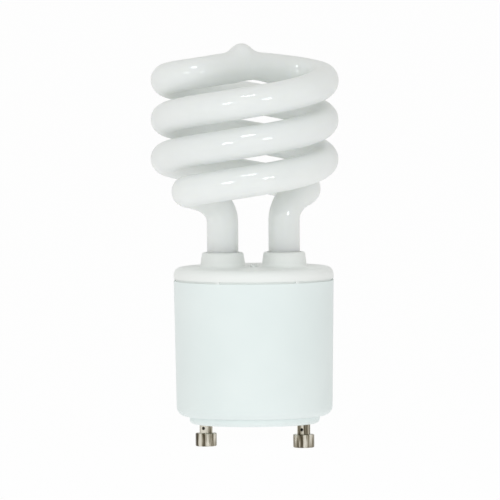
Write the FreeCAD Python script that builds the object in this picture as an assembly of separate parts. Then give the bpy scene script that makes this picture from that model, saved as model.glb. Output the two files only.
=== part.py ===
import FreeCAD, Part
import math
import os

os.makedirs("parts", exist_ok=True)

# Spiral compact fluorescent bulb with a two-pin twist-and-lock base.
# Millimetres. Z is up, from the base towards the glass. The origin lies midway between the two
# contact pins, on the plane of their heads' flat ends. The pins stand at +X and -X.

# Contact pins
pin_spacing = 24.0
pin_head_diameter = 5.0
pin_head_height = 3.15
pin_head_edge = 0.3
pin_neck_diameter = 3.1
pin_neck_length = 2.45
pin_shank_diameter = 2.4
pin_fit = 0.03
pin_bore_diameter = 1.3
pin_bore_floor = 0.6
cross_hole_diameter = 0.8
cross_hole_above_head = 1.1
left_pin_turn = -7.0
swage_diameter = 3.8
swage_height = 0.6

# Lower housing, a cup with a stepped round base
base_step = 3.0
base_height = 1.8
base_edge = 1.0
cup_diameter = 36.6
cup_height = 31.85
cup_draft = 0.5
cup_underside_flat = 0.8
cup_wall = 1.3
floor_thickness = 1.4
boss_diameter = 6.4
boss_height = 2.6
rib_count = 6
rib_first_angle = 30.0
rib_width = 1.2
rib_depth = 1.6
pocket_count = 4
pocket_first_angle = 45.0
pocket_width = 6.0
pocket_height = 1.8
pocket_depth = 0.7
pocket_below_rim = 4.2

# Top cover
cover_gap = 0.5
groove_depth = 0.5
lug_count = 6
lug_first_angle = -40.0
lug_width = 0.8
lug_inset = 0.12
cover_height = 2.65
cover_edge = 1.7
cover_wall = 1.4
skirt_wall = 1.2
skirt_clearance = 0.12
barb_clearance = 0.15
barb_depth = 0.45
collar_height = 3.5
collar_top_diameter = 9.7
collar_base_diameter = 10.7
collar_edge = 0.6
collar_root = 0.9
gate_diameter = 1.5
gate_height = 0.45

# Glass tube
tube_diameter = 7.44
leg_spacing = 14.52
leg_line_angle = 22.0
leg_top_height = 53.2
leg_below_cover = 4.6
pinch_width = 5.6
pinch_thickness = 1.9
pinch_height = 2.4
pinch_edge = 0.75
pinch_overlap = 1.0
coil_radius = 18.4
turn_spacing = 9.254
coil_offset_x = -1.78
coil_offset_y = -0.54
coil_start_height = 61.35
coil_start_angle = 251.5
coil_sweep = 489.5
coil_lean = 0.57
coil_lean_direction = 107.0
coil_station_angle = 45.0
leg_bend_rise = 8.4
leg_bend_reach = 11.2
top_bend_radius = 6.5
crossing_rise = 2.73
crossing_offset_x = -0.74
crossing_offset_y = -0.22
crossing_diameter = 7.6
tip_height = 5.8
tip_radius = 3.0
tip_blend = 6.0
joint_radius = 18.0
joint_depth = 0.8
joint_length = 13.0
joint_offset = 2.4

# Cement round the legs, and the tube's wires
cement_wall = 0.35
cement_film = 0.02
cement_below_collar = 0.4
cement_bead_diameter = 11.2
cement_bead_height = 2.2
lead_diameter = 0.5
lead_spread = 3.0
lead_drop = 1.5
lead_bend = 0.8
post_side = 0.8
post_height = 4.6
post_below_board = 0.4
post_circle = 27.0
post_spread_angle = 31.0
wrap_diameter = 2.0
wrap_height = 1.6

# Circuit board, and the fit of what it carries
board_thickness = 1.6
board_clearance = 0.3
lead_in_part = 1.0
board_below_rim = 7.8
wire_side = 0.6
wire_hole_diameter = 0.92
wire_above_board = 0.6
body_gap = 0.1

# Parts that hang from the board, each with its middle's place
capacitor_x = -7.0
capacitor_y = 6.1
capacitor_diameter = 10.0
capacitor_above_floor = 5.05
capacitor_groove_drop = 2.5
capacitor_pitch = 5.0
capacitor_pitch_angle = 45.0
capacitor_crimp = 0.5
choke_x = 5.5
choke_y = 4.9
core_width = 12.6
core_thickness = 5.0
core_height = 12.0
core_leg = 2.0
core_centre_leg = 3.4
core_air_gap = 0.3
bobbin_depth = 9.6
bobbin_wall = 0.6
bobbin_flange = 0.7
bobbin_fit = 0.1
bobbin_pitch = 5.0
winding_margin = 0.3
coupling_x = -5.9
coupling_y = -2.2
coupling_width = 10.4
coupling_depth = 4.4
coupling_height = 9.5
coupling_pitch = 7.5
start_x = 6.4
start_y = -3.0
start_width = 8.8
start_depth = 3.8
start_height = 8.0
start_pitch = 7.5
film_corner = 0.8
toroid_x = -5.6
toroid_y = -9.6
toroid_diameter = 8.6
toroid_bore = 4.4
toroid_height = 3.6
toroid_winding = 0.45
toroid_winding_count = 3
toroid_winding_angle = 62.0
toroid_first_angle = 30.0
toroid_lead_inset = 0.6
toroid_lead_share = 0.3
transistor_diameter = 4.6
transistor_flat = 1.3
transistor_length = 4.6
transistor_drop = 2.2
transistor_pitch = 1.4
transistor_lead_count = 3
transistor_high_x = 2.0
transistor_low_x = 7.4
transistor_y = -7.4
diode_diameter = 2.6
diode_length = 4.2
diode_x = 13.4
diode_y = 3.8
diac_x = 11.2
diac_y = -6.7
diac_diameter = 1.8
diac_length = 3.6
axial_drop = 1.0
axial_bend = 0.8
axial_lead_gap = 0.3
lead_in_body = 0.2
snubber_diameter = 5.2
snubber_thickness = 2.0
snubber_angle = -51.0
snubber_circle = 28.6
thermistor_diameter = 6.0
thermistor_thickness = 2.0
thermistor_angle = 91.5
thermistor_circle = 26.4
disc_drop = 1.2
disc_pitch = 3.0
filter_x = 3.0
filter_y = -12.5
filter_diameter = 5.6
filter_height = 7.6
filter_core = 2.4
filter_flange = 1.0
filter_winding = 4.6
filter_lead_gap = 0.2
fuse_diameter = 3.0
fuse_waist = 2.5
fuse_length = 7.0
fuse_cap = 1.4
chip_length = 3.2
chip_width = 1.6
chip_height = 0.6
chip_places = [(-3.2, 11.4), (3.4, 11.0), (-9.6, 8.2), (6.4, -3.0), (-3.6, -11.2), (3.0, -10.8)]

# Wires from the pins to the board
input_jacket_diameter = 1.5
input_core_diameter = 0.8
input_wire_x = 13.4
input_bend = 2.0
input_jacket_start = 0.5
input_jacket_length = 4.6
input_straight = 1.3
input_rise = 2.4

# Levels and radii that follow from the sizes above
base_bottom = pin_head_height + pin_neck_length
cup_bottom = base_bottom + base_height
rim_height = cup_bottom + cup_height
cover_bottom = rim_height + cover_gap
cover_top = cover_bottom + cover_height
plate_under = cover_top - cover_wall
collar_top = cover_top + collar_height
base_floor = base_bottom + floor_thickness
cup_floor = cup_bottom + floor_thickness
boss_top = base_floor + boss_height
board_top = rim_height - board_below_rim
board_bottom = board_top - board_thickness
leg_end_height = plate_under - leg_below_cover
pinch_bottom = leg_end_height - pinch_height
cup_radius = cup_diameter / 2
base_radius = cup_radius - base_step
cup_corner = base_step - cup_underside_flat
rim_radius = cup_radius + cup_draft
inner_radius = cup_radius - cup_wall
inner_rim_radius = rim_radius - cup_wall
board_radius = inner_radius - board_clearance
tube_radius = tube_diameter / 2
coil_climb = turn_spacing * coil_sweep / 180
coil_slope = coil_climb / (coil_radius * math.radians(coil_sweep))
coil_end_height = coil_start_height + coil_climb
crossing_height = coil_end_height + crossing_rise
input_start = boss_top + swage_height + input_jacket_start
fuse_bottom = input_start + input_jacket_length + input_straight
fuse_top = fuse_bottom + fuse_length
pin_x = pin_spacing / 2
wire_top = board_top + wire_above_board

# How far a cutting shape runs past the faces it cuts, and how close two sizes count as equal
cut_margin = 1.0
close = 0.001


def vector(x, y, z):
    return FreeCAD.Vector(x, y, z)


ORIGIN = vector(0, 0, 0)
UP = vector(0, 0, 1)


def around(radius, angle, height):
    """A point at a radius and an angle in degrees about the housing's axis."""
    turn = math.radians(angle)
    return vector(radius * math.cos(turn), radius * math.sin(turn), height)


def turned(shape, angle):
    """A copy of the shape, turned about the housing's axis."""
    copy = shape.copy()
    copy.rotate(ORIGIN, UP, angle)
    return copy


def moved(shape, x, y, z=0.0):
    """A copy of the shape, moved."""
    copy = shape.copy()
    copy.translate(vector(x, y, z))
    return copy


def block(x_size, y_size, bottom, top, x=0.0, y=0.0):
    """An upright block centred on x and y."""
    corner = vector(x - x_size / 2, y - y_size / 2, bottom)
    return Part.makeBox(x_size, y_size, top - bottom, corner)


def rod(radius, bottom, top, x=0.0, y=0.0):
    """An upright cylinder."""
    return Part.makeCylinder(radius, top - bottom, vector(x, y, bottom))


def polygon_face(corners):
    """A flat face from its corners."""
    return Part.Face(Part.makePolygon(corners + corners[:1]))


def spun(section, x=0.0, y=0.0):
    """A solid of revolution from (radius, height) points, in order round its section."""
    face = polygon_face([vector(radius, 0, height) for radius, height in section])
    return moved(face.revolve(ORIGIN, UP, 360), x, y)


def rim_edges(shape, height, radius):
    """The circular edges of a shape at a height and of a radius."""
    found = []
    for edge in shape.Edges:
        if not isinstance(edge.Curve, Part.Circle) or abs(edge.Curve.Radius - radius) > close:
            continue
        if edge.BoundBox.ZLength < close and abs(edge.BoundBox.ZMin - height) < close:
            found.append(edge)
    return found


def upright_edges(shape):
    """The straight vertical edges of a shape."""
    return [edge for edge in shape.Edges if edge.BoundBox.ZLength > edge.Length - close]


def joined(shapes):
    """One solid from shapes that overlap or touch."""
    return shapes[0].fuse(shapes[1:]).removeSplitter()


def wall_radius(height):
    """The cup's inner radius at a height, with its draft."""
    return inner_radius + cup_draft * (height - cup_bottom) / cup_height


# The glass tube's path: straight legs, and arcs that meet in line everywhere else

def arc_edge(start, corner, end):
    """An arc from start to end that is tangent to the lines to their common corner."""
    weight = (end - start).Length / (2 * (corner - start).Length)
    if weight > 0.999999:
        return Part.makeLine(start, end)
    middle = (start + corner * (2 * weight) + end) * (1 / (2 + 2 * weight))
    return Part.Arc(start, middle, end).toShape()


def two_arcs(start, heading, end, end_heading):
    """Two arcs in line with each other that leave start and reach end in the given headings."""
    span = end - start
    spread = 2 * (1 - heading.dot(end_heading))
    run = span.dot(heading + end_heading)
    if spread < 1e-9:
        reach = span.dot(span) / (2 * run)
    else:
        reach = (math.sqrt(run * run + spread * span.dot(span)) - run) / spread
    first_corner = start + heading * reach
    last_corner = end - end_heading * reach
    meeting = (first_corner + last_corner) * 0.5
    return [arc_edge(start, first_corner, meeting), arc_edge(meeting, last_corner, end)]


def arc_chain(stations):
    """Arcs through stations, each a point and a heading of length one."""
    edges = []
    for (start, heading), (end, end_heading) in zip(stations, stations[1:]):
        edges += two_arcs(start, heading, end, end_heading)
    return edges


def on_coil(station):
    """Carries a station from an upright coil on the Z axis to the real coil's place and lean."""
    point, heading = station
    lean = FreeCAD.Rotation(around(1, coil_lean_direction, 0), coil_lean)
    pivot = vector(0, 0, (coil_start_height + crossing_height) / 2)
    place = pivot + lean.multVec(point - pivot) + vector(coil_offset_x, coil_offset_y, 0)
    return place, lean.multVec(heading)


def coil_stations(start_angle):
    """The helix of one half of the tube, with evenly spaced stations."""
    count = math.ceil(coil_sweep / coil_station_angle)
    stations = []
    for index in range(count + 1):
        share = index / count
        angle = start_angle + coil_sweep * share
        point = around(coil_radius, angle, coil_start_height + coil_climb * share)
        heading = around(1, angle + 90, coil_slope).normalize()
        stations.append(on_coil((point, heading)))
    return stations


def crossing_stations(start_angle):
    """The top bend of one half: an arc in plan, then straight to the crossing, levelling out."""
    end_angle = start_angle + coil_sweep
    centre_radius = coil_radius - top_bend_radius
    turn = 90 + math.degrees(math.asin(top_bend_radius / centre_radius))
    straight = math.sqrt(centre_radius ** 2 - top_bend_radius ** 2)
    arc_length = top_bend_radius * math.radians(turn)
    length = arc_length + straight
    centre = around(centre_radius, end_angle, 0)
    offset = vector(crossing_offset_x, crossing_offset_y, 0)
    stations = []
    for share in (0, 0.2, 0.4, 0.6, 0.8, 1):
        run = length * share
        angle = end_angle + min(run / arc_length, 1) * turn
        spot = centre + around(top_bend_radius, angle, 0)
        heading = around(1, angle + 90, 0)
        spot += heading * max(run - arc_length, 0)
        ease = 3 * share ** 2 - 2 * share ** 3
        ease_rate = 6 * (share - share ** 2) / length
        level = ease * crossing_rise + (share ** 3 - 2 * share ** 2 + share) * coil_slope * length
        grade = ease_rate * crossing_rise + (3 * share ** 2 - 4 * share + 1) * coil_slope
        point = spot + offset * ease + UP * (coil_end_height + level)
        way = heading + offset * ease_rate + UP * grade
        stations.append(on_coil((point, way.normalize())))
    return stations


def bend_stations(start, start_pull, end_pull, end):
    """Stations along a smooth bend that leaves and arrives in line with its two pulls."""
    curve = Part.BezierCurve()
    curve.setPoles([start, start_pull, end_pull, end])
    return [(curve.value(share), curve.tangent(share)[0].normalize()) for share in (0, 0.3, 0.6, 1)]


def half_tube(leg, start_angle):
    """One half of the tube's path, from its leg's end to the crossing."""
    coil = coil_stations(start_angle)
    coil_start, coil_heading = coil[0]
    leg_end = vector(leg.x, leg.y, leg_end_height)
    leg_top = vector(leg.x, leg.y, leg_top_height)
    rise_pull = leg_top + UP * leg_bend_rise
    coil_pull = coil_start - coil_heading * leg_bend_reach
    lower_bend = bend_stations(leg_top, rise_pull, coil_pull, coil_start)
    path = [Part.makeLine(leg_end, leg_top)]
    return path + arc_chain(lower_bend) + arc_chain(coil) + arc_chain(crossing_stations(start_angle))


def leg_places():
    """The two legs' axes: the left leg, then the right one."""
    right = around(leg_spacing / 2, leg_line_angle, 0)
    return [right * -1, right]


def blown_tip():
    """The crossing's round swelling and the tip above it, about the Z axis with the crossing at zero."""
    swelling = crossing_diameter / 2
    shoulder = tip_height - tip_radius
    tilt = math.asin((swelling - tip_radius) / shoulder)

    def on_circle(radius, height, angle):
        return vector(radius * math.cos(angle), 0, height + radius * math.sin(angle))

    low = on_circle(swelling, 0, -math.pi / 2)
    side = on_circle(swelling, 0, tilt)
    neck = on_circle(tip_radius, shoulder, tilt)
    top = on_circle(tip_radius, shoulder, math.pi / 2)
    below = Part.Arc(low, on_circle(swelling, 0, -math.pi / 8), side).toShape()
    above = Part.Arc(neck, on_circle(tip_radius, shoulder, (tilt + math.pi / 2) / 2), top).toShape()
    section = Part.Wire([below, Part.makeLine(side, neck), above, Part.makeLine(top, low)])
    return Part.Face(section).revolve(ORIGIN, UP, 360)


def joint_hollow(middle, heading):
    """What the drawn-up underside takes off the tube at the crossing: a long shallow arc across it."""
    along = vector(heading.x, heading.y, 0).normalize()
    across = vector(-along.y, along.x, 0)
    spot = middle - along * joint_offset
    low = middle.z - tube_radius
    foot = vector(spot.x, spot.y, low + joint_depth - joint_radius) - across * tube_diameter
    roll = Part.makeCylinder(joint_radius, 2 * tube_diameter, foot, across)
    slab = block(joint_length, 2 * tube_diameter, low - tube_radius / 2, low + tube_radius / 2)
    slab = turned(slab, math.degrees(math.atan2(along.y, along.x)))
    return roll.common(moved(slab, spot.x, spot.y))


def spiral_tube():
    """The glass tube as one closed body, swept from one leg's end to the other's, with its blown tip."""
    left, right = leg_places()
    left_half = half_tube(left, coil_start_angle)
    right_half = half_tube(right, coil_start_angle + 180)
    path = Part.Wire(left_half + right_half[::-1])
    section = Part.Wire(Part.makeCircle(tube_radius, vector(left.x, left.y, leg_end_height), UP))
    tube = path.makePipeShell([section], True, False)
    middle, heading = crossing_stations(coil_start_angle)[-1]
    tube = tube.fuse(moved(blown_tip(), middle.x, middle.y, middle.z))
    free_edges = [edge for edge in tube.Edges if not edge.Degenerated]
    seams = [edge for edge in free_edges if isinstance(edge.Curve, Part.BSplineCurve)]
    tube = tube.makeFillet(tip_blend, seams)
    pieces = [tube.cut(joint_hollow(middle, heading))]
    for leg in (left, right):
        blade = block(pinch_width, pinch_thickness, pinch_bottom, leg_end_height + pinch_overlap)
        blade = blade.makeFillet(pinch_edge, upright_edges(blade))
        pieces.append(moved(turned(blade, leg_line_angle + 90), leg.x, leg.y))
    return joined(pieces)


def lower_housing():
    """The cup and its stepped base, with pin bosses, board ribs and snap pockets."""
    outer = spun([
        (0, base_bottom), (base_radius, base_bottom), (base_radius, cup_bottom),
        (cup_radius, cup_bottom), (rim_radius, rim_height), (0, rim_height),
    ])
    outer = outer.makeFillet(base_edge, rim_edges(outer, base_bottom, base_radius))
    outer = outer.makeFillet(cup_corner, rim_edges(outer, cup_bottom, cup_radius))
    hollow = spun([
        (0, base_floor), (base_radius - cup_wall, base_floor), (base_radius - cup_wall, cup_floor),
        (inner_radius, cup_floor), (inner_rim_radius, rim_height), (0, rim_height),
    ])
    pieces = [outer.cut(hollow)]
    for side in (-1, 1):
        pieces.append(rod(boss_diameter / 2, base_floor, boss_top, side * pin_x))
    for index in range(rib_count):
        reach = rib_depth + cup_wall / 2
        rib = block(reach, rib_width, cup_floor, board_bottom, inner_radius - rib_depth + reach / 2)
        pieces.append(turned(rib, rib_first_angle + index * 360 / rib_count))
    body = joined(pieces)
    cuts = []
    shank_hole = pin_shank_diameter / 2 + pin_fit
    for side in (-1, 1):
        cuts.append(rod(shank_hole, base_bottom - cut_margin, boss_top + cut_margin, side * pin_x))
    pocket_top = rim_height - pocket_below_rim
    for index in range(pocket_count):
        bottom = pocket_top - pocket_height
        pocket = block(2 * pocket_depth, pocket_width, bottom, pocket_top, inner_rim_radius)
        cuts.append(turned(pocket, pocket_first_angle + index * 360 / pocket_count))
    return body.cut(cuts)


def snap_barb():
    """One barb on the skirt's outside, at +X: a hook with a flat top and a sloped lower face."""
    top = rim_height - pocket_below_rim - barb_clearance
    bottom = top - pocket_height + 2 * barb_clearance
    skirt_radius = wall_radius(board_top) - skirt_clearance
    root = skirt_radius - skirt_wall / 2
    half = pocket_width / 2 - barb_clearance
    profile = [(root, top), (skirt_radius + barb_depth, top), (skirt_radius, bottom), (root, bottom)]
    face = polygon_face([vector(radius, -half, height) for radius, height in profile])
    return face.extrude(vector(0, 2 * half, 0))


def top_cover():
    """The cover: a plate over a shallow groove with lugs, a snap skirt and two collars."""
    skirt_radius = wall_radius(board_top) - skirt_clearance
    skirt_inner = skirt_radius - skirt_wall
    groove_radius = rim_radius - groove_depth
    shell = spun([
        (0, plate_under), (skirt_inner, plate_under), (skirt_inner, board_top),
        (skirt_radius, board_top), (skirt_radius, rim_height), (groove_radius, rim_height),
        (groove_radius, cover_bottom), (rim_radius, cover_bottom), (rim_radius, cover_top),
        (0, cover_top),
    ])
    shell = shell.makeFillet(cover_edge, rim_edges(shell, cover_top, rim_radius))
    pieces = [shell, rod(gate_diameter / 2, cover_top, cover_top + gate_height)]
    for leg in leg_places():
        foot = vector(leg.x, leg.y, cover_top)
        collar = Part.makeCone(collar_base_diameter / 2, collar_top_diameter / 2, collar_height, foot)
        pieces.append(collar.makeFillet(collar_edge, rim_edges(collar, collar_top, collar_top_diameter / 2)))
    for index in range(pocket_count):
        pieces.append(turned(snap_barb(), pocket_first_angle + index * 360 / pocket_count))
    lug_middle = rim_radius - groove_depth / 2 - lug_inset
    lug = block(groove_depth, lug_width, rim_height, cover_bottom, lug_middle)
    for index in range(lug_count):
        pieces.append(turned(lug, lug_first_angle + index * 360 / lug_count))
    cover = joined(pieces)
    cover = cover.makeFillet(collar_root, rim_edges(cover, cover_top, collar_base_diameter / 2))
    holes = []
    for leg in leg_places():
        bottom = plate_under - cut_margin
        holes.append(rod(tube_radius + cement_wall, bottom, collar_top + cut_margin, leg.x, leg.y))
    return cover.cut(holes)


def tube_cement(leg):
    """Cement round one leg: a thin sleeve in the collar and a bead under the cover."""
    inner = tube_radius + cement_film
    outer = tube_radius + cement_wall - cement_film
    bead = cement_bead_diameter / 2
    return spun([
        (inner, plate_under - cement_bead_height), (bead, plate_under - cement_bead_height),
        (bead, plate_under), (outer, plate_under), (outer, collar_top - cement_below_collar),
        (inner, collar_top - cement_below_collar),
    ], leg.x, leg.y)


def contact_pin(x, turn):
    """A turned and swaged pin: head, neck with a cross hole, shank through the base, and a hollow end."""
    neck = pin_neck_diameter / 2
    shank = pin_shank_diameter / 2
    head = pin_head_diameter / 2
    top = boss_top + swage_height
    pin = spun([
        (0, 0), (head, 0), (head, pin_head_height), (neck, pin_head_height), (neck, base_bottom),
        (shank, base_bottom), (shank, boss_top), (swage_diameter / 2, boss_top), (shank, top), (0, top),
    ])
    pin = pin.makeFillet(pin_head_edge, rim_edges(pin, 0, head) + rim_edges(pin, pin_head_height, head))
    bore = rod(pin_bore_diameter / 2, pin_head_height + pin_bore_floor, top + cut_margin)
    side = vector(0, -pin_neck_diameter, pin_head_height + cross_hole_above_head)
    cross = Part.makeCylinder(cross_hole_diameter / 2, 2 * pin_neck_diameter, side, vector(0, 1, 0))
    return moved(turned(pin.cut([bore, cross]), turn), x, 0)


def wire(x, y, bottom, top=wire_top):
    """A straight lead of square wire, up to its clipped end above the board unless a top is given."""
    return block(wire_side, wire_side, bottom, top, x, y)


def spread_points(x, y, pitch, angle=0.0, count=2):
    """Points in a row about a middle, a pitch apart, with the row turned by an angle."""
    points = []
    for index in range(count):
        step = around(pitch * (index - (count - 1) / 2), angle, 0)
        points.append((x + step.x, y + step.y))
    return points


def leads_into(points):
    """Straight leads at the points, from inside a body that hangs under the board."""
    return [wire(x, y, board_bottom - lead_in_part) for x, y in points]


def bulk_capacitor_wires():
    return spread_points(capacitor_x, capacitor_y, capacitor_pitch, capacitor_pitch_angle)


def bulk_capacitor():
    """The electrolytic can, upside down under the board, with its crimped groove and two leads."""
    radius = capacitor_diameter / 2
    bottom = cup_floor + capacitor_above_floor
    groove = board_bottom - capacitor_groove_drop
    can = spun([
        (0, bottom), (radius - capacitor_crimp, bottom), (radius, bottom + capacitor_crimp),
        (radius, groove - capacitor_crimp), (radius - capacitor_crimp, groove),
        (radius, groove + capacitor_crimp), (radius, board_bottom - capacitor_crimp),
        (radius - capacitor_crimp, board_bottom), (0, board_bottom),
    ], capacitor_x, capacitor_y)
    return joined([can] + leads_into(bulk_capacitor_wires()))


def core_half(upper):
    """One E-shaped half of the choke's core; the centre leg is short, for the air gap."""
    top = board_bottom - body_gap
    middle = top - core_height / 2
    half_height = core_height / 2
    back = block(core_width, core_thickness, half_height - core_leg, half_height)
    legs = [block(core_centre_leg, core_thickness, core_air_gap / 2, half_height)]
    for side in (-1, 1):
        place = side * (core_width - core_leg) / 2
        legs.append(block(core_leg, core_thickness, 0, half_height, place))
    half = joined([back] + legs)
    if not upper:
        half.rotate(ORIGIN, vector(1, 0, 0), 180)
    return moved(half, choke_x, choke_y, middle)


def choke_window():
    """The bottom and top of the space between the core's two backs."""
    top = board_bottom - body_gap
    return top - core_height + core_leg, top - core_leg


def choke_bobbin_wires():
    points = []
    for side in (-1, 1):
        y = choke_y + side * ((bobbin_depth - wire_side) / 2 - bobbin_wall)
        points += spread_points(choke_x, y, bobbin_pitch)
    return points


def choke_bobbin():
    """The bobbin: a square tube on the centre leg, two flanges, and two rails with the four leads."""
    low, high = choke_window()
    low += bobbin_fit
    high -= bobbin_fit
    bore_width = core_centre_leg + 2 * bobbin_fit
    bore_depth = core_thickness + 2 * bobbin_fit
    width = core_width - 2 * core_leg - 2 * bobbin_fit
    pieces = [block(bore_width + 2 * bobbin_wall, bore_depth + 2 * bobbin_wall, low, high)]
    pieces.append(block(width, bobbin_depth, low, low + bobbin_flange))
    pieces.append(block(width, bobbin_depth, high - bobbin_flange, high))
    rail = (bobbin_depth - bore_depth) / 2
    for side in (-1, 1):
        rail_y = side * (bobbin_depth - rail) / 2
        pieces.append(block(width, rail, high - bobbin_flange, board_bottom, 0, rail_y))
    bore = block(bore_width, bore_depth, low - cut_margin, board_bottom + cut_margin)
    bobbin = moved(joined(pieces).cut(bore), choke_x, choke_y)
    return joined([bobbin] + leads_into(choke_bobbin_wires()))


def choke_winding():
    """The choke's winding, a block of turns with round corners between the bobbin's flanges."""
    low, high = choke_window()
    low += bobbin_fit + bobbin_flange
    high -= bobbin_fit + bobbin_flange
    inner_width = core_centre_leg + 2 * bobbin_fit + 2 * bobbin_wall
    inner_depth = core_thickness + 2 * bobbin_fit + 2 * bobbin_wall
    outer_width = core_width - 2 * core_leg - 2 * bobbin_fit - 2 * winding_margin
    outer_depth = bobbin_depth - 2 * winding_margin
    coil = block(outer_width, outer_depth, low, high)
    coil = coil.makeFillet((outer_width - inner_width) / 2, upright_edges(coil))
    bore = block(inner_width, inner_depth, low - cut_margin, high + cut_margin)
    return moved(coil.cut(bore), choke_x, choke_y)


def film_capacitor(x, y, width, depth, height, pitch):
    """A film capacitor: a brick with round upright corners, hung by two leads."""
    body = block(width, depth, board_bottom - body_gap - height, board_bottom - body_gap)
    body = moved(body.makeFillet(film_corner, upright_edges(body)), x, y)
    return joined([body] + leads_into(spread_points(x, y, pitch)))


def toroid_levels():
    """The bottom and top of the ring core, under the board by its winding and a gap."""
    top = board_bottom - body_gap - toroid_winding
    return top - toroid_height, top


def feedback_toroid():
    """The ring core of the drive transformer."""
    low, high = toroid_levels()
    outer = rod(toroid_diameter / 2, low, high, toroid_x, toroid_y)
    bore = rod(toroid_bore / 2, low - cut_margin, high + cut_margin, toroid_x, toroid_y)
    return outer.cut(bore)


def toroid_angles():
    """The middle angle of each winding on the ring core."""
    step = 360 / toroid_winding_count
    return [toroid_first_angle + step * index for index in range(toroid_winding_count)]


def toroid_lead_points(middle_angle):
    """The places of the two leads of the winding about one angle."""
    points = []
    for side in (-1, 1):
        angle = middle_angle + side * toroid_winding_angle * toroid_lead_share
        spot = around(toroid_diameter / 2 - toroid_lead_inset, angle, 0)
        points.append((toroid_x + spot.x, toroid_y + spot.y))
    return points


def feedback_windings():
    """Three windings on the ring core, each a band of turns wrapped round its section, with two leads."""
    low, high = toroid_levels()
    inner = toroid_bore / 2
    outer = toroid_diameter / 2
    skin = toroid_winding
    section = polygon_face([
        vector(inner - skin, 0, low - skin), vector(outer + skin, 0, low - skin),
        vector(outer + skin, 0, high + skin), vector(inner - skin, 0, high + skin),
    ])
    core = rod(outer, low, high).cut(rod(inner, low - cut_margin, high + cut_margin))
    band = section.revolve(ORIGIN, UP, toroid_winding_angle).cut(core)
    windings = []
    for angle in toroid_angles():
        turns = moved(turned(band, angle - toroid_winding_angle / 2), toroid_x, toroid_y)
        leads = [wire(x, y, high + skin / 2) for x, y in toroid_lead_points(angle)]
        windings.append(joined([turns] + leads))
    return Part.makeCompound(windings)


def transistor_wires(x):
    return spread_points(x, transistor_y, transistor_pitch, 0, transistor_lead_count)


def transistor(x):
    """A small plastic transistor with one flat side, on its row of leads."""
    top = board_bottom - transistor_drop
    bottom = top - transistor_length
    body = rod(transistor_diameter / 2, bottom, top)
    flat_y = transistor_diameter / 2 + transistor_flat
    flat = block(transistor_diameter, transistor_diameter, bottom, top, 0, flat_y)
    body = moved(body.cut(flat), x, transistor_y)
    return joined([body] + [wire(lead_x, y, top - lead_in_part) for lead_x, y in transistor_wires(x)])


def axial_step(diameter):
    """How far the bent lead stands from an upright axial part's middle."""
    return diameter / 2 + wire_side / 2 + axial_lead_gap


def axial_part(x, y, diameter, length, angle):
    """An axial part stood on end: one lead straight up, the other bent back up beside it."""
    top = board_bottom - axial_drop
    bottom = top - length
    bend = bottom - axial_bend
    step = axial_step(diameter)
    body = rod(diameter / 2, bottom, top)
    tail = wire(0, 0, bend, bottom + lead_in_body)
    reach = block(step + wire_side, wire_side, bend, bend + wire_side, step / 2)
    rise = wire(step, 0, bend)
    upper_lead = wire(0, 0, top - lead_in_body)
    return moved(turned(joined([body, tail, reach, rise, upper_lead]), angle), x, y)


def axial_wires(x, y, diameter, angle):
    step = around(axial_step(diameter), angle, 0)
    return [(x, y), (x + step.x, y + step.y)]


def diode_places():
    """The four rectifier diodes: place, and the way that the bent lead goes."""
    places = []
    for side in (-1, 1):
        for end in (-1, 1):
            places.append((side * diode_x, end * diode_y, end * 90))
    return places


def rectifier_diodes():
    """The four diodes of the bridge, two beside each input wire."""
    diodes = []
    for x, y, angle in diode_places():
        diodes.append(axial_part(x, y, diode_diameter, diode_length, angle))
    return Part.makeCompound(diodes)


def disc_part(diameter, thickness, angle, circle):
    """A flat round part on edge, facing the housing's axis, on two leads."""
    middle = board_bottom - disc_drop - diameter / 2
    face = vector(circle / 2 - thickness / 2, 0, middle)
    disc = Part.makeCylinder(diameter / 2, thickness, face, vector(1, 0, 0))
    leads = [wire(circle / 2, side * disc_pitch / 2, middle) for side in (-1, 1)]
    return turned(joined([disc] + leads), angle)


def disc_wires(angle, circle):
    spot = around(circle / 2, angle, 0)
    return spread_points(spot.x, spot.y, disc_pitch, angle + 90)


def filter_choke_core():
    """The drum core of the mains filter choke, a spool with two flanges."""
    top = board_bottom - body_gap
    bottom = top - filter_height
    return spun([
        (0, bottom), (filter_diameter / 2, bottom), (filter_diameter / 2, bottom + filter_flange),
        (filter_core / 2, bottom + filter_flange), (filter_core / 2, top - filter_flange),
        (filter_diameter / 2, top - filter_flange), (filter_diameter / 2, top), (0, top),
    ], filter_x, filter_y)


def filter_choke_wires():
    return spread_points(filter_x, filter_y, filter_diameter + wire_side + filter_lead_gap, 0)


def filter_choke_winding():
    """The winding on the drum core, with two leads that run up past the upper flange."""
    top = board_bottom - body_gap - filter_flange
    bottom = board_bottom - body_gap - filter_height + filter_flange
    coil = rod(filter_winding / 2, bottom, top, filter_x, filter_y)
    bore = rod(filter_core / 2, bottom - cut_margin, top + cut_margin, filter_x, filter_y)
    leads = filter_choke_wires()
    foot_length = leads[1][0] - leads[0][0] + wire_side
    feet = block(foot_length, wire_side, top - wire_side, top, filter_x, filter_y)
    pieces = [coil.fuse(feet).cut(bore)]
    pieces += [wire(x, y, top - wire_side) for x, y in leads]
    return joined(pieces)


def fusible_resistor():
    """The fusible resistor in the left input lead: a body with two end caps and a lead at each end."""
    low = fuse_bottom
    cap = fuse_diameter / 2
    body = spun([
        (0, low), (cap, low), (cap, low + fuse_cap), (fuse_waist / 2, low + fuse_cap),
        (fuse_waist / 2, fuse_top - fuse_cap), (cap, fuse_top - fuse_cap), (cap, fuse_top), (0, fuse_top),
    ], -input_wire_x, 0)
    lower = wire(-input_wire_x, 0, low - input_straight, low + lead_in_body)
    return joined([body, lower, wire(-input_wire_x, 0, fuse_top - lead_in_body)])


def chip_resistors():
    """Flat resistors on the board's upper face."""
    top = board_top + chip_height
    return Part.makeCompound([block(chip_length, chip_width, board_top, top, x, y) for x, y in chip_places])


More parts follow.
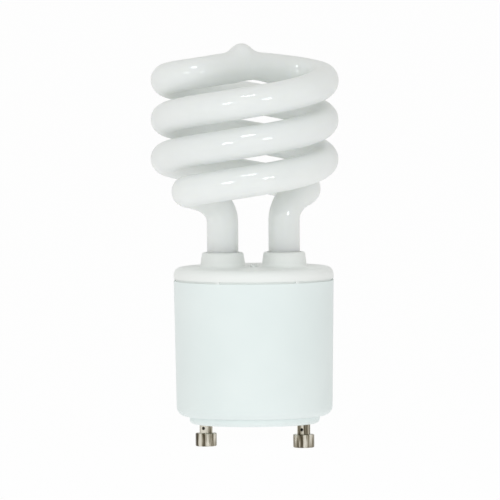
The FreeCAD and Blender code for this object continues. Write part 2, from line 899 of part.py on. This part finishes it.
def swept(points, bend_radius, radius):
    """A round wire along straight runs joined by tangent arcs of one radius."""
    edges = []
    start = points[0]
    for before, corner, after in zip(points, points[1:], points[2:]):
        inward = (before - corner).normalize()
        outward = (after - corner).normalize()
        cut = bend_radius / math.tan(inward.getAngle(outward) / 2)
        first = corner + inward * cut
        last = corner + outward * cut
        edges += [Part.makeLine(start, first), arc_edge(first, corner, last)]
        start = last
    edges.append(Part.makeLine(start, points[-1]))
    section = Part.Wire(Part.makeCircle(radius, points[0], points[1] - points[0]))
    return Part.Wire(edges).makePipeShell([section], True, False)


def input_wire(side):
    """A jacketed wire from a pin's bore: up, outwards in two bends, and up to the board or the resistor."""
    start = input_start
    step = start + input_straight
    jacket_top = start + input_jacket_length
    if side > 0:
        jacket_top = board_bottom - input_jacket_start
    x = side * pin_x
    outer = side * input_wire_x
    lower = vector(x, 0, step)
    upper = vector(outer, 0, step + input_rise)
    route = [vector(x, 0, start), lower, upper, vector(outer, 0, jacket_top)]
    jacket = swept(route, input_bend, input_jacket_diameter / 2)
    core = rod(input_core_diameter / 2, pin_head_height + pin_bore_floor, start + lead_in_body, x, 0)
    pieces = [jacket, core]
    if side > 0:
        pieces.append(rod(input_core_diameter / 2, jacket_top - lead_in_body, wire_top, outer, 0))
    return joined(pieces)


def post_places():
    """The four posts: a pair beside each leg, and the angle of each."""
    places = []
    for leg_angle in (leg_line_angle + 180, leg_line_angle):
        for side in (-1, 1):
            angle = leg_angle + side * post_spread_angle
            places.append((around(post_circle / 2, angle, 0), leg_angle, side))
    return places


def post(spot, bottom, top):
    """A square bar at one of the posts' places."""
    return block(post_side, post_side, bottom, top, spot.x, spot.y)


def wrap_posts():
    """Square posts that stand through the board."""
    bottom = board_bottom - post_below_board
    top = board_top + post_height
    return Part.makeCompound([post(spot, bottom, top) for spot, leg_angle, side in post_places()])


def electrode_leads(leg, leg_angle):
    """The two wires from one end of the tube, each with its turns round a post."""
    wires = []
    for spot, post_angle, side in post_places():
        if post_angle != leg_angle:
            continue
        out = around(lead_spread / 2, leg_angle + 90 * side, 0)
        start = vector(leg.x + out.x, leg.y + out.y, pinch_bottom)
        corner = vector(start.x, start.y, pinch_bottom - lead_drop)
        level = corner.z
        end = vector(spot.x, spot.y, level)
        inset = (end - corner).normalize() * (wrap_diameter / 2 - lead_diameter / 2)
        lead = swept([start, corner, end - inset], lead_bend, lead_diameter / 2)
        wrap = rod(wrap_diameter / 2, level - wrap_height / 2, level + wrap_height / 2, spot.x, spot.y)
        wrap = wrap.cut(post(spot, level - wrap_height, level + wrap_height))
        wires.append(joined([wrap, lead]))
    return Part.makeCompound(wires)


def wire_points():
    """Every point where a square lead comes through the board."""
    points = bulk_capacitor_wires() + choke_bobbin_wires() + filter_choke_wires()
    points += spread_points(coupling_x, coupling_y, coupling_pitch)
    points += spread_points(start_x, start_y, start_pitch)
    points += transistor_wires(transistor_high_x) + transistor_wires(transistor_low_x)
    for angle in toroid_angles():
        points += toroid_lead_points(angle)
    for x, y, angle in diode_places():
        points += axial_wires(x, y, diode_diameter, angle)
    points += axial_wires(diac_x, diac_y, diac_diameter, 0)
    points += disc_wires(snubber_angle, snubber_circle) + disc_wires(thermistor_angle, thermistor_circle)
    points += [(-input_wire_x, 0), (input_wire_x, 0)]
    return points


def circuit_board():
    """The round board, drilled for each lead, with square holes for the posts."""
    board = rod(board_radius, board_bottom, board_top)
    bottom = board_bottom - cut_margin
    top = board_top + cut_margin
    holes = [rod(wire_hole_diameter / 2, bottom, top, x, y) for x, y in wire_points()]
    holes += [post(spot, bottom, top) for spot, leg_angle, side in post_places()]
    return board.cut(holes)


def export(name, shape):
    """Writes one sub-part's file."""
    shape.exportStep("parts/" + name + ".step")


left_leg, right_leg = leg_places()
export("spiral_tube", spiral_tube())
export("lower_housing", lower_housing())
export("top_cover", top_cover())
export("tube_cement_left", tube_cement(left_leg))
export("tube_cement_right", tube_cement(right_leg))
export("contact_pin_left", contact_pin(-pin_x, left_pin_turn))
export("contact_pin_right", contact_pin(pin_x, 0))
export("electrode_leads_left", electrode_leads(left_leg, leg_line_angle + 180))
export("electrode_leads_right", electrode_leads(right_leg, leg_line_angle))
export("circuit_board", circuit_board())
export("wrap_posts", wrap_posts())
export("bulk_capacitor", bulk_capacitor())
export("choke_core_upper", core_half(True))
export("choke_core_lower", core_half(False))
export("choke_bobbin", choke_bobbin())
export("choke_winding", choke_winding())
export("coupling_capacitor", film_capacitor(
    coupling_x, coupling_y, coupling_width, coupling_depth, coupling_height, coupling_pitch))
export("start_capacitor", film_capacitor(
    start_x, start_y, start_width, start_depth, start_height, start_pitch))
export("feedback_toroid", feedback_toroid())
export("feedback_windings", feedback_windings())
export("transistor_high", transistor(transistor_high_x))
export("transistor_low", transistor(transistor_low_x))
export("rectifier_diodes", rectifier_diodes())
export("trigger_diac", axial_part(diac_x, diac_y, diac_diameter, diac_length, 0))
export("snubber_capacitor", disc_part(snubber_diameter, snubber_thickness, snubber_angle, snubber_circle))
export("preheat_thermistor", disc_part(
    thermistor_diameter, thermistor_thickness, thermistor_angle, thermistor_circle))
export("filter_choke_core", filter_choke_core())
export("filter_choke_winding", filter_choke_winding())
export("fusible_resistor", fusible_resistor())
export("chip_resistors", chip_resistors())
export("input_wire_left", input_wire(-1))
export("input_wire_right", input_wire(1))
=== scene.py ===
import math

import bmesh
import bpy
from mathutils import Matrix, Vector


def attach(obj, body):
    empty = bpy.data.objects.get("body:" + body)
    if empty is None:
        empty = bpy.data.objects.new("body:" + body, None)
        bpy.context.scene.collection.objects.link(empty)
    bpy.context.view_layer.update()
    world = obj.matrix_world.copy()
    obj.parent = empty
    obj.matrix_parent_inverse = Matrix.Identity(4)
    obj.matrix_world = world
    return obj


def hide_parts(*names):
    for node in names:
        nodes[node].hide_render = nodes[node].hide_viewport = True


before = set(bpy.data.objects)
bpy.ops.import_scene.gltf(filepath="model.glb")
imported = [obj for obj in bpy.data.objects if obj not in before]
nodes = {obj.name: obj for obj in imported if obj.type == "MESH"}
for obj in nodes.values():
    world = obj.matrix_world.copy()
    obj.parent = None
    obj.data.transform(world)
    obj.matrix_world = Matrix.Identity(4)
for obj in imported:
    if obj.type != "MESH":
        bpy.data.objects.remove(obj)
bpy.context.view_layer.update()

scene = bpy.context.scene

# The photograph's view: the housing's axis, the pins' tips, the scale and the small tilt of the camera
CAMERA_SIDE = 17.0
AZIMUTH = math.radians(CAMERA_SIDE)
ELEVATION = math.radians(3.1)
CAMERA_ROLL = math.radians(-0.44)
CAMERA_DISTANCE = 2.5
PHOTO_SIZE = 500
PIXELS_PER_METRE = 4250.0
AXIS_PIXEL = (253.45, 446.7)
SENSOR_WIDTH = 36.0

# How bright the room is for dull surfaces, from above on the left and from the far side
NEAR_FILL = 0.64
FAR_FILL = 0.48
FILL_AZIMUTH = math.radians(-55.0)
FILL_DROP = 0.6
FILL_SPAN = 0.9
FILL_COLOUR = (1.0, 0.99, 0.96, 1.0)
WHITE = (1.0, 1.0, 1.0, 1.0)

# How much of the floor's light on the part is its own glow, as a sheet lit from all sides has
FLOOR_GLOW = 0.76
BACKGROUND_GLOW = 0.97
FLOOR_HALF_WIDTH = 4.0

# The lamps: distance, height of their aim and tint
LAMP_DISTANCE = 0.9
LAMP_AIM = Vector((0, 0, 0.05))
LAMP_TINT = (0.91, 0.98, 1.0)

# The tube's even skin
SKIN_STEP = 0.00042
SKIN_SMOOTHINGS = 14

# Edges of the part sharper than this stay crisp
CRISP_ANGLE = math.radians(35)


def srgb(red, green, blue):
    """A colour for a shader from 0 to 255 screen values."""
    linear = []
    for value in (red, green, blue):
        value /= 255
        linear.append(value / 12.92 if value <= 0.04045 else ((value + 0.055) / 1.055) ** 2.4)
    return (*linear, 1.0)


class Finish:
    """A material under construction, with short ways to add its nodes."""

    def __init__(self, name, colour, roughness, metallic=0.0):
        self.material = bpy.data.materials.new(name)
        self.material.use_nodes = True
        self.tree = self.material.node_tree
        self.shader = self.tree.nodes["Principled BSDF"]
        self.set("Base Color", colour)
        self.set("Roughness", roughness)
        self.set("Metallic", metallic)

    def set(self, socket, value):
        self.shader.inputs[socket].default_value = value

    def add(self, kind, **settings):
        node = self.tree.nodes.new(kind)
        for name, value in settings.items():
            if name in node.inputs:
                node.inputs[name].default_value = value
            else:
                setattr(node, name, value)
        return node

    def link(self, source, target):
        self.tree.links.new(source, target)

    def place(self, scale=(1.0, 1.0, 1.0), location=(0.0, 0.0, 0.0)):
        """Object coordinates through a mapping."""
        coordinates = self.add("ShaderNodeTexCoord")
        mapping = self.add("ShaderNodeMapping", Scale=scale, Location=location)
        self.link(coordinates.outputs["Object"], mapping.inputs["Vector"])
        return mapping.outputs["Vector"]

    def noise(self, vector, scale, detail=3.0, roughness=0.5):
        node = self.add("ShaderNodeTexNoise", Scale=scale, Detail=detail, Roughness=roughness)
        self.link(vector, node.inputs["Vector"])
        return node.outputs["Fac"]

    def ramp(self, source, stops):
        """A colour ramp from (place, colour) stops."""
        node = self.add("ShaderNodeValToRGB")
        while len(node.color_ramp.elements) < len(stops):
            node.color_ramp.elements.new(0.5)
        for element, (place, colour) in zip(node.color_ramp.elements, stops):
            element.position = place
            element.color = colour
        self.link(source, node.inputs["Fac"])
        return node.outputs["Color"]

    def span(self, source, low, high, from_low=0.0, from_high=1.0):
        node = self.add("ShaderNodeMapRange", **{
            "From Min": from_low, "From Max": from_high, "To Min": low, "To Max": high})
        self.link(source, node.inputs["Value"])
        return node.outputs["Result"]

    def bump(self, height, strength, distance):
        node = self.add("ShaderNodeBump", Strength=strength, Distance=distance)
        self.link(height, node.inputs["Height"])
        previous = self.shader.inputs["Normal"].links
        if previous:
            self.link(previous[0].from_socket, node.inputs["Normal"])
        self.link(node.outputs["Normal"], self.shader.inputs["Normal"])


def moulded_plastic(name, dark, light, roughness, grain, grain_depth):
    """Moulded plastic with a fine spark-eroded texture and faint clouding."""
    finish = Finish(name, light, roughness)
    spot = finish.place()
    cloud = finish.noise(spot, 55.0, 2.0)
    finish.link(finish.ramp(cloud, [(0.3, dark), (0.7, light)]), finish.shader.inputs["Base Color"])
    fine = finish.noise(spot, grain, 2.0, 0.6)
    finish.bump(fine, 0.35, grain_depth)
    finish.link(finish.span(fine, roughness - 0.06, roughness + 0.06, 0.35, 0.65),
                finish.shader.inputs["Roughness"])
    return finish


def dress(node, finish):
    """Gives a CAD node a material."""
    materials = nodes[node].data.materials
    materials.clear()
    materials.append(finish.material)


def cad_copy(node):
    """A bmesh of a CAD node with its loose triangles merged."""
    mesh = bmesh.new()
    mesh.from_mesh(nodes[node].data)
    bmesh.ops.remove_doubles(mesh, verts=mesh.verts, dist=1e-6)
    return mesh


def piece(name, mesh, finish, slot, *replaced):
    """Makes an object from a bmesh, rides it on the body and hides the nodes it stands for; its slot
    argument is not used.
    """
    data = bpy.data.meshes.new(name)
    for face in mesh.faces:
        face.smooth = True
    mesh.to_mesh(data)
    mesh.free()
    data.set_sharp_from_angle(angle=CRISP_ANGLE)
    data.materials.append(finish.material)
    made = bpy.data.objects.new(name, data)
    scene.collection.objects.link(made)
    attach(made, "root")
    if replaced:
        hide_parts(*replaced)
    return made


# Finishes
housing_plastic = moulded_plastic(
    "housing_plastic", srgb(233, 242, 241), srgb(238, 246, 245), 0.5, 5200.0, 0.00002)
cover_plastic = moulded_plastic(
    "cover_plastic", srgb(241, 244, 242), srgb(245, 247, 245), 0.48, 4200.0, 0.00003)

tube_glass = Finish("tube_glass", srgb(233, 236, 234), 0.6)
tube_glass.set("Specular IOR Level", 0.2)
tube_glass.set("Coat Roughness", 0.04)
tube_glass.set("Coat IOR", 1.6)
tube_glass.set("Subsurface Weight", 0.85)
tube_glass.set("Subsurface Radius", (1.0, 1.0, 0.9))
tube_glass.set("Subsurface Scale", 0.012)
tube_glass.link(tube_glass.ramp(tube_glass.noise(tube_glass.place(), 90.0, 3.0),
                                [(0.3, srgb(230, 234, 232)), (0.7, srgb(235, 239, 237))]),
                tube_glass.shader.inputs["Base Color"])

# The gloss fades edge on, so that the white room doesn't wash out the rims of the strands
edge_on = tube_glass.add("ShaderNodeLayerWeight", Blend=0.5)
tube_glass.link(tube_glass.span(edge_on.outputs["Facing"], 1.0, 0.12, 0.4, 0.85),
                tube_glass.shader.inputs["Coat Weight"])

nickel = Finish("nickel", srgb(196, 190, 180), 0.28, 1.0)
turned_spot = nickel.place((60.0, 60.0, 9000.0))
turned = nickel.noise(turned_spot, 1.0, 3.0)
# Painted reflection: the colour carries dark and bright vertical streaks in place of mirrored surroundings,
# shifted sideways so that the left pin comes out darker
nickel.link(nickel.ramp(nickel.noise(nickel.place((1.0, 1.0, 0.12), (0.003, 0.0, 0.0)), 1000.0, 3.0),
                        [(0.38, srgb(72, 64, 49)), (0.5, srgb(140, 133, 116)), (0.62, srgb(216, 211, 198))]),
            nickel.shader.inputs["Base Color"])
nickel.link(nickel.span(turned, 0.14, 0.3), nickel.shader.inputs["Roughness"])
nickel.bump(turned, 0.4, 0.00002)

cement = Finish("cement", srgb(222, 220, 214), 0.9)
cement.bump(cement.noise(cement.place(), 2600.0, 4.0), 0.5, 0.00008)
tinned_wire = Finish("tinned_wire", srgb(190, 188, 182), 0.3, 1.0)
tinned_wire.link(tinned_wire.span(tinned_wire.noise(tinned_wire.place(), 900.0), 0.2, 0.45),
                 tinned_wire.shader.inputs["Roughness"])

board_laminate = Finish("board_laminate", srgb(188, 158, 102), 0.6)
board_laminate.link(board_laminate.ramp(board_laminate.noise(board_laminate.place((1.0, 5.0, 1.0)), 500.0),
                                        [(0.3, srgb(176, 144, 88)), (0.7, srgb(198, 168, 112))]),
                    board_laminate.shader.inputs["Base Color"])
ferrite = Finish("ferrite", srgb(62, 62, 66), 0.7)
ferrite.bump(ferrite.noise(ferrite.place(), 3000.0, 4.0), 0.4, 0.00004)
copper = Finish("enamelled_copper", srgb(168, 84, 46), 0.3, 0.8)
copper_turns = copper.noise(copper.place((1.0, 1.0, 40.0)), 160.0)
copper.link(copper.span(copper_turns, 0.2, 0.45), copper.shader.inputs["Roughness"])
copper.bump(copper_turns, 0.6, 0.0001)


def dull_body(name, colour, roughness):
    """A dipped or moulded component body with a slightly uneven skin."""
    finish = Finish(name, srgb(*colour), roughness)
    skin = finish.noise(finish.place(), 1400.0)
    finish.link(finish.span(skin, roughness - 0.08, roughness + 0.08), finish.shader.inputs["Roughness"])
    finish.bump(skin, 0.3, 0.00004)
    return finish


black_mould = dull_body("black_mould", (38, 38, 40), 0.5)
can_sleeve = dull_body("can_sleeve", (44, 44, 52), 0.3)
red_film = dull_body("red_film", (150, 44, 34), 0.32)
blue_disc = dull_body("blue_disc", (62, 98, 150), 0.5)
green_disc = dull_body("green_disc", (70, 122, 86), 0.55)
blue_glass = dull_body("blue_glass", (88, 120, 172), 0.15)
resistor_skin = dull_body("resistor_skin", (122, 164, 168), 0.45)
wire_jacket = dull_body("wire_jacket", (226, 226, 222), 0.4)
post_brass = Finish("post_brass", srgb(206, 180, 122), 0.35, 1.0)
post_brass.link(post_brass.span(post_brass.noise(post_brass.place(), 900.0), 0.25, 0.5),
                post_brass.shader.inputs["Roughness"])

dress("lower_housing", housing_plastic)
dress("top_cover", cover_plastic)
glass_tube = piece("glass_tube", cad_copy("spiral_tube"), tube_glass, "tube_glass", "spiral_tube")
skin = glass_tube.modifiers.new("skin", "REMESH")
skin.mode = "VOXEL"
skin.voxel_size = SKIN_STEP
skin.use_smooth_shade = True
drawn = glass_tube.modifiers.new("drawn", "SMOOTH")
drawn.factor = 0.5
drawn.iterations = SKIN_SMOOTHINGS
for name in ("contact_pin_left", "contact_pin_right"):
    dress(name, nickel)
for name in ("tube_cement_left", "tube_cement_right"):
    dress(name, cement)
for name in ("electrode_leads_left", "electrode_leads_right"):
    dress(name, tinned_wire)
for name in ("choke_core_upper", "choke_core_lower", "feedback_toroid", "filter_choke_core"):
    dress(name, ferrite)
for name in ("choke_winding", "feedback_windings", "filter_choke_winding"):
    dress(name, copper)
for name in ("transistor_high", "transistor_low", "rectifier_diodes", "chip_resistors", "choke_bobbin"):
    dress(name, black_mould)
for name in ("coupling_capacitor", "start_capacitor"):
    dress(name, red_film)
for name in ("input_wire_left", "input_wire_right"):
    dress(name, wire_jacket)
dress("circuit_board", board_laminate)
dress("wrap_posts", post_brass)
dress("bulk_capacitor", can_sleeve)
dress("snubber_capacitor", blue_disc)
dress("preheat_thermistor", green_disc)
dress("trigger_diac", blue_glass)
dress("fusible_resistor", resistor_skin)


# Camera
def photo_camera():
    """The camera that sees the part as the photograph does."""
    back = Vector((math.sin(AZIMUTH) * math.cos(ELEVATION), -math.cos(AZIMUTH) * math.cos(ELEVATION),
                   math.sin(ELEVATION)))
    turn = (-back).to_track_quat("-Z", "Y")
    across = turn @ Vector((1, 0, 0))
    up = turn @ Vector((0, 1, 0))
    centre_x = (PHOTO_SIZE / 2 - AXIS_PIXEL[0]) / PIXELS_PER_METRE
    centre_y = (AXIS_PIXEL[1] - PHOTO_SIZE / 2) / PIXELS_PER_METRE
    data = bpy.data.cameras.new("photo_camera")
    data.sensor_width = SENSOR_WIDTH
    data.lens = SENSOR_WIDTH * CAMERA_DISTANCE * PIXELS_PER_METRE / PHOTO_SIZE
    data.clip_start = 0.1
    data.clip_end = 50.0
    camera = bpy.data.objects.new("photo_camera", data)
    camera.location = across * centre_x + up * centre_y + back * CAMERA_DISTANCE
    camera.rotation_mode = "QUATERNION"
    camera.rotation_quaternion = turn @ Matrix.Rotation(CAMERA_ROLL, 3, "Z").to_quaternion()
    scene.collection.objects.link(camera)
    scene.camera = camera


photo_camera()


# Lights and background
def softbox(name, side, rise, size, power):
    """A cool lamp that faces the part, by its degrees to the camera's right and above level."""
    data = bpy.data.lights.new(name, "AREA")
    data.shape = "RECTANGLE"
    data.size, data.size_y = size
    data.energy = power
    data.color = LAMP_TINT
    lamp = bpy.data.objects.new(name, data)
    side, rise = math.radians(CAMERA_SIDE + side), math.radians(rise)
    back = Vector((math.sin(side) * math.cos(rise), -math.cos(side) * math.cos(rise), math.sin(rise)))
    lamp.location = LAMP_AIM + back * LAMP_DISTANCE
    lamp.rotation_mode = "QUATERNION"
    lamp.rotation_quaternion = (-back).to_track_quat("-Z", "Y")
    scene.collection.objects.link(lamp)


softbox("lamp_left", -22, 14, (0.22, 0.11), 0.72)
softbox("lamp_right", 27, 10, (0.2, 0.1), 0.62)
softbox("lamp_above", -3, 50, (0.24, 0.13), 0.85)


def studio_world():
    """Plain light all round; the camera, metal and glass all see the same white background."""
    world = bpy.data.worlds.new("studio")
    world.use_nodes = True
    scene.world = world
    tree = world.node_tree

    def node(kind, **settings):
        made = tree.nodes.new(kind)
        for name, value in settings.items():
            setattr(made, name, value)
        return made

    fill = tree.nodes["Background"]
    fill.inputs["Color"].default_value = FILL_COLOUR
    white = node("ShaderNodeBackground")
    white.inputs["Color"].default_value = WHITE
    direction = node("ShaderNodeTexCoord")
    across = node("ShaderNodeVectorMath", operation="DOT_PRODUCT")
    across.inputs[1].default_value = (-math.sin(FILL_AZIMUTH), math.cos(FILL_AZIMUTH), -FILL_DROP)
    wash = node("ShaderNodeMapRange")
    wash.inputs["From Min"].default_value = -FILL_SPAN
    wash.inputs["From Max"].default_value = FILL_SPAN
    wash.inputs["To Min"].default_value = NEAR_FILL
    wash.inputs["To Max"].default_value = FAR_FILL
    path = node("ShaderNodeLightPath")
    reflected = node("ShaderNodeMath", operation="MAXIMUM")
    shown = node("ShaderNodeMath", operation="MAXIMUM")
    mix = node("ShaderNodeMixShader")
    join = tree.links.new
    join(direction.outputs["Generated"], across.inputs[0])
    join(across.outputs["Value"], wash.inputs["Value"])
    join(wash.outputs["Result"], fill.inputs["Strength"])
    join(path.outputs["Is Glossy Ray"], reflected.inputs[0])
    join(path.outputs["Is Transmission Ray"], reflected.inputs[1])
    join(reflected.outputs[0], shown.inputs[0])
    join(path.outputs["Is Camera Ray"], shown.inputs[1])
    join(shown.outputs[0], mix.inputs["Fac"])
    join(fill.outputs[0], mix.inputs[1])
    join(white.outputs[0], mix.inputs[2])
    join(mix.outputs[0], tree.nodes["World Output"].inputs["Surface"])


studio_world()


def floor():
    """A white floor, the same to the camera, metal and glass, with part of its light left to the shadow."""
    mesh = bmesh.new()
    bmesh.ops.create_grid(mesh, x_segments=1, y_segments=1, size=FLOOR_HALF_WIDTH)
    data = bpy.data.meshes.new("floor")
    mesh.to_mesh(data)
    mesh.free()
    made = bpy.data.objects.new("floor", data)
    scene.collection.objects.link(made)
    paint = Finish("floor_paint", (0.9, 0.9, 0.9, 1.0), 0.9)
    glow = paint.add("ShaderNodeEmission", Color=WHITE, Strength=1.0)
    path = paint.add("ShaderNodeLightPath")
    reflected = paint.add("ShaderNodeMath", operation="MAXIMUM")
    shown = paint.add("ShaderNodeMath", operation="MAXIMUM")
    share = paint.add("ShaderNodeMapRange", **{"To Min": FLOOR_GLOW, "To Max": BACKGROUND_GLOW})
    mix = paint.add("ShaderNodeMixShader")
    paint.link(path.outputs["Is Glossy Ray"], reflected.inputs[0])
    paint.link(path.outputs["Is Transmission Ray"], reflected.inputs[1])
    paint.link(reflected.outputs[0], shown.inputs[0])
    paint.link(path.outputs["Is Camera Ray"], shown.inputs[1])
    paint.link(shown.outputs[0], share.inputs["Value"])
    paint.link(share.outputs["Result"], mix.inputs["Fac"])
    paint.link(paint.shader.outputs[0], mix.inputs[1])
    paint.link(glow.outputs[0], mix.inputs[2])
    paint.link(mix.outputs[0], paint.tree.nodes["Material Output"].inputs["Surface"])
    data.materials.append(paint.material)


floor()

scene.view_settings.view_transform = "Standard"
